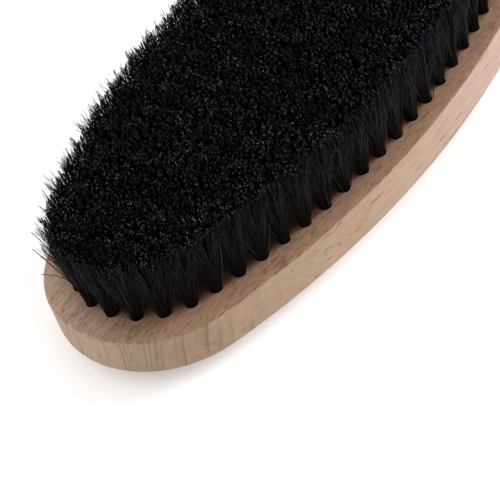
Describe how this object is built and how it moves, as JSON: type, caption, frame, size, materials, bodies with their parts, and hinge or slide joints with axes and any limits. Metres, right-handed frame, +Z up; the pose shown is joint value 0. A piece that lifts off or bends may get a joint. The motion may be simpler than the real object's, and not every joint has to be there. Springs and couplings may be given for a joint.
{
  "type": "clothes brush",
  "caption": "Oval wooden clothes brush: flat-faced block with a rounded back, drilled blind holes, and folded black bristle tufts pinned by flat wire anchors.",
  "frame": {"origin": "centre of the flat back that the brush rests on, under the middle of the block", "axes": "+Z up out of the bristle face along the bristles, +X along the block's length towards its front end, +Y across the block to the left"},
  "size_m": [0.176, 0.0754, 0.0329],
  "materials": {
    "beech_wood": "bare, finely sanded, matt",
    "bristle": "black hair with a slight sheen and paler cut tips",
    "anchor_wire": "plain drawn flat wire"
  },
  "bodies": {
    "root": {"block": "beech_wood", "rim_front_end_anchors": "anchor_wire", "rim_front_end_tufts": "bristle", "rim_front_left_anchors": "anchor_wire", "rim_front_left_tufts": "bristle", "rim_front_right_anchors": "anchor_wire", "rim_front_right_tufts": "bristle", "rim_rear_end_anchors": "anchor_wire", "rim_rear_end_tufts": "bristle", "rim_rear_left_anchors": "anchor_wire", "rim_rear_left_tufts": "bristle", "rim_rear_right_anchors": "anchor_wire", "rim_rear_right_tufts": "bristle", "row_01_anchors": "anchor_wire", "row_01_tufts": "bristle", "row_02_anchors": "anchor_wire", "row_02_tufts": "bristle", "row_03_anchors": "anchor_wire", "row_03_tufts": "bristle", "row_04_anchors": "anchor_wire", "row_04_tufts": "bristle", "row_05_anchors": "anchor_wire", "row_05_tufts": "bristle", "row_06_anchors": "anchor_wire", "row_06_tufts": "bristle", "row_07_anchors": "anchor_wire", "row_07_tufts": "bristle", "row_08_anchors": "anchor_wire", "row_08_tufts": "bristle", "row_09_anchors": "anchor_wire", "row_09_tufts": "bristle", "row_10_anchors": "anchor_wire", "row_10_tufts": "bristle", "row_11_anchors": "anchor_wire", "row_11_tufts": "bristle", "row_12_anchors": "anchor_wire", "row_12_tufts": "bristle", "row_13_anchors": "anchor_wire", "row_13_tufts": "bristle", "row_14_anchors": "anchor_wire", "row_14_tufts": "bristle", "row_15_anchors": "anchor_wire", "row_15_tufts": "bristle", "row_16_anchors": "anchor_wire", "row_16_tufts": "bristle", "row_17_anchors": "anchor_wire", "row_17_tufts": "bristle", "row_18_anchors": "anchor_wire", "row_18_tufts": "bristle", "row_19_anchors": "anchor_wire", "row_19_tufts": "bristle", "row_20_anchors": "anchor_wire", "row_20_tufts": "bristle", "row_21_anchors": "anchor_wire", "row_21_tufts": "bristle", "row_22_anchors": "anchor_wire", "row_22_tufts": "bristle", "row_23_anchors": "anchor_wire", "row_23_tufts": "bristle"}
  },
  "joints": []
}
